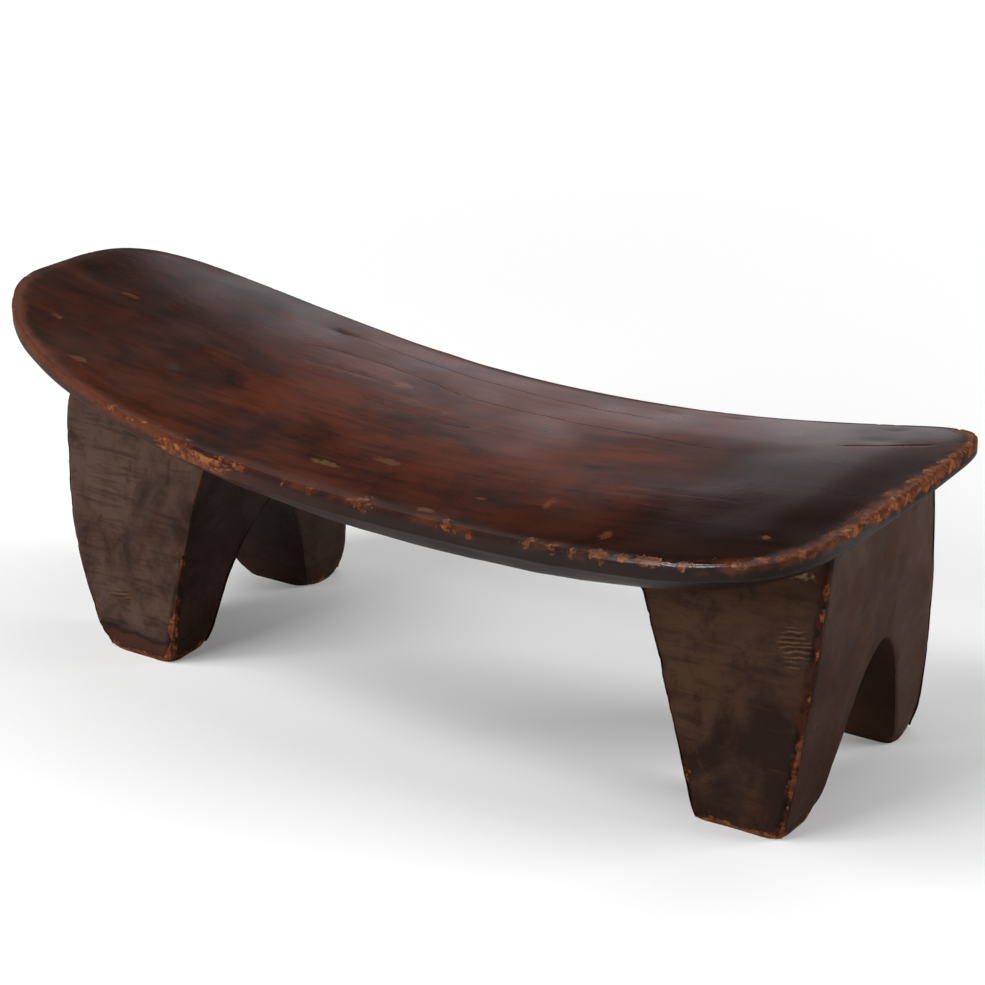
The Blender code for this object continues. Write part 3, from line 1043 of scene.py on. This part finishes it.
def leg_material(name, light_wood, darker_below, marks, shaded):
    """The dusty, matt wood of the legs. It gets darker below the height `darker_below`. Its inner
    sides are darkened towards the soot colour as strongly as `shaded`: partly soot, partly painted
    shade where the platform and the other support shade them."""
    g = Graph(name)
    grain = g.noise((30, 140, 260), detail=6, roughness=0.68, distortion=0.6)
    base = leg_wood(g, light_wood, darker_below)
    base = g.over(base, UMBER_WOOD, g.step(grain, 0.47, 0.66), 0.55)
    base = marks(g, base)
    off_outside = g.math("MULTIPLY_ADD", g.attribute("outside"), -0.5, 0.5)
    base = g.mix(off_outside, base, g.mix(0.4, RUST_WOOD, UMBER_WOOD))
    # Painted shade and soot: the inner and arch sides are darkened with the soot colour.
    base = g.over(base, SOOT_AND_SHADE, g.attribute("under"), shaded)
    arris = g.product(g.step(g.attribute("edge"), 0.1, 0.6), g.step(g.attribute("worn"), 0.45, 0.75))
    base = g.over(base, SOOT_AND_SHADE, arris, 0.75)
    worn = g.product(g.attribute("worn"), g.attribute("edge"))
    rubbed = g.step(g.math("ADD", worn, g.sway(3.0, 150, detail=4, move=(1, 1, 1))), 0.25, 0.8)
    base = g.over(base, RUBBED_WOOD, rubbed, g.step(worn, 0.05, 0.3), 0.35)
    low_flakes = g.product(flake_mask(g), g.step(g.axis(2), 0.045, 0.02))
    bare = g.math("MAXIMUM", bead_mask(g), low_flakes)
    base = g.over(base, bare_wood(g), bare, 0.9)
    g.set(g.shader.inputs["Base Color"], base)
    rough = g.step(g.noise(40, detail=5, roughness=0.65), 0.3, 0.7, 0.5, 0.68)
    g.set(g.shader.inputs["Roughness"], rough)
    g.shader.inputs["Specular IOR Level"].default_value = 0.07
    height = g.math("ADD", g.product(grain, 0.7), g.product(bare, -0.4))
    normal = g.bump(height, 0.6 * MM, 0.8)
    normal = g.bump(g.noise(480, detail=5, roughness=0.7), 0.14 * MM, 0.7, normal)
    g.set(g.shader.inputs["Normal"], normal)
    return g.material


def floor_material():
    """White paper. What is seen of it directly is a little brighter, so that it stays white."""
    g = Graph("floor_paper")
    g.shader.inputs["Base Color"].default_value = (0.88, 0.88, 0.88, 1)
    g.shader.inputs["Roughness"].default_value = 0.9
    g.shader.inputs["Specular IOR Level"].default_value = 0.2
    away = g.add("ShaderNodeVectorMath", {0: g.place}, operation="LENGTH").outputs["Value"]
    seen = g.add("ShaderNodeLightPath").outputs["Is Camera Ray"]
    glow = g.step(away, 0.3, 2.2, 0.12, 0.64)
    g.shader.inputs["Emission Color"].default_value = (1, 1, 1, 1)
    g.set(g.shader.inputs["Emission Strength"], g.product(seen, glow))
    return g.material


# -------- studio


FLOOR_HALF = 6.0


def make_floor():
    """A large square of white paper under the object."""
    corners = [(x * FLOOR_HALF, y * FLOOR_HALF, 0) for x, y in ((-1, -1), (1, -1), (1, 1), (-1, 1))]
    floor = new_piece("studio_floor", corners, [(0, 1, 2, 3)])
    floor.data.materials.append(floor_material())


LIGHTS_AIM = Vector((0.0, 0.0, 0.08))


def make_light(name, azimuth, elevation, distance, size, power, tint=(1, 1, 1), roll=0.0):
    """A soft rectangular light that faces the object. Azimuth is counted from +X towards +Y."""
    turn, lift = math.radians(azimuth), math.radians(elevation)
    way = Vector((math.cos(turn) * math.cos(lift), math.sin(turn) * math.cos(lift), math.sin(lift)))
    data = bpy.data.lights.new(name, "AREA")
    data.shape = "RECTANGLE"
    data.size, data.size_y = size
    data.energy = power
    data.color = tint
    light = bpy.data.objects.new(name, data)
    light.location = LIGHTS_AIM + way * distance
    rolled = Quaternion((0, 0, 1), math.radians(roll))
    light.rotation_euler = (way.to_track_quat("Z", "Y") @ rolled).to_euler()
    light.visible_camera = False
    bpy.context.scene.collection.objects.link(light)


# How bright the air is on the object, and how bright the backdrop looks.
AIR_GLOW = 0.03
BACKDROP_GLOW = 0.96


def make_lights():
    """Five soft lights, and a world that is bright only where the camera sees it."""
    world = bpy.data.worlds.new("studio_air")
    world.use_nodes = True
    nodes, links = world.node_tree.nodes, world.node_tree.links
    backdrop = nodes["Background"]
    backdrop.inputs["Color"].default_value = (1.0, 1.0, 1.0, 1)
    seen = nodes.new("ShaderNodeLightPath").outputs["Is Camera Ray"]
    strength = nodes.new("ShaderNodeMapRange")
    strength.inputs["To Min"].default_value = AIR_GLOW
    strength.inputs["To Max"].default_value = BACKDROP_GLOW
    links.new(seen, strength.inputs["Value"])
    links.new(strength.outputs[0], backdrop.inputs["Strength"])
    bpy.context.scene.world = world
    make_light("key_light", 240, 22, 2.6, (1.7, 1.2), 60)
    make_light("end_light", 28, 20, 2.2, (1.2, 1.0), 32)
    make_light("top_light", 215, 55, 2.3, (0.8, 0.8), 22)
    make_light("roof_light", 95, 70, 3.0, (2.0, 2.0), 22)
    make_light("back_light", 117.2, 11.6, 2.3, (1.05, 0.64), 1.45, (1.0, 0.93, 1.0), roll=32)


CAMERA_AZIMUTH = 33.7998
CAMERA_ELEVATION = 21.0839
CAMERA_ROLL = -0.4278
CAMERA_DISTANCE = 1.3647
CAMERA_TARGET = (-0.0065, 0.062, 0.0732)
CAMERA_LENS = 97.77
CAMERA_SENSOR = 36


def make_camera():
    """The camera, turned by its azimuth and elevation about its target, and rolled a little."""
    data = bpy.data.cameras.new("photo_view")
    data.lens = CAMERA_LENS
    data.sensor_width = CAMERA_SENSOR
    camera = bpy.data.objects.new("photo_view", data)
    camera.matrix_world = (Matrix.Translation(CAMERA_TARGET)
                           @ Matrix.Rotation(math.radians(CAMERA_AZIMUTH), 4, "Z")
                           @ Matrix.Rotation(math.radians(90 - CAMERA_ELEVATION), 4, "X")
                           @ Matrix.Rotation(math.radians(CAMERA_ROLL), 4, "Z")
                           @ Matrix.Translation((0, 0, CAMERA_DISTANCE)))
    bpy.context.scene.collection.objects.link(camera)
    bpy.context.scene.camera = camera


# -------- putting it together


def underside_tree(piece):
    """The piece's faces, ready for finding where a line meets them."""
    data = piece.data
    return BVHTree.FromPolygons([v.co for v in data.vertices], [p.vertices[:] for p in data.polygons])


def main():
    """The studio, the platform and the four legs."""
    make_camera()
    make_lights()
    make_floor()
    bpy.context.scene.view_settings.view_transform = "Standard"
    platform = make_platform()
    platform.data.materials.append(platform_material("platform_patina", True))
    platform.data.materials.append(platform_material("rim_patina", False))
    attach(platform, "root")
    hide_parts("rest_platform")
    tree = underside_tree(platform)
    finishes = {
        "left": leg_material("left_leg_patina_and_shade", GREY_WOOD_AND_LIGHT, 20 * MM, left_leg_marks, 0.45),
        "right": leg_material("right_leg_patina_and_light", OLIVE_WOOD_AND_LIGHT, 100 * MM, right_leg_marks_and_light, 0.0),
    }
    for end, support in SUPPORTS.items():
        for side in ("front", "rear"):
            leg = make_leg(f"{side}_{end}_leg_carving", support, side, tree)
            mark_seam_sharp(leg, support)
            leg.data.materials.append(finishes[end])
            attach(leg, "root")
            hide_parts(f"{side}_{end}_leg")


main()
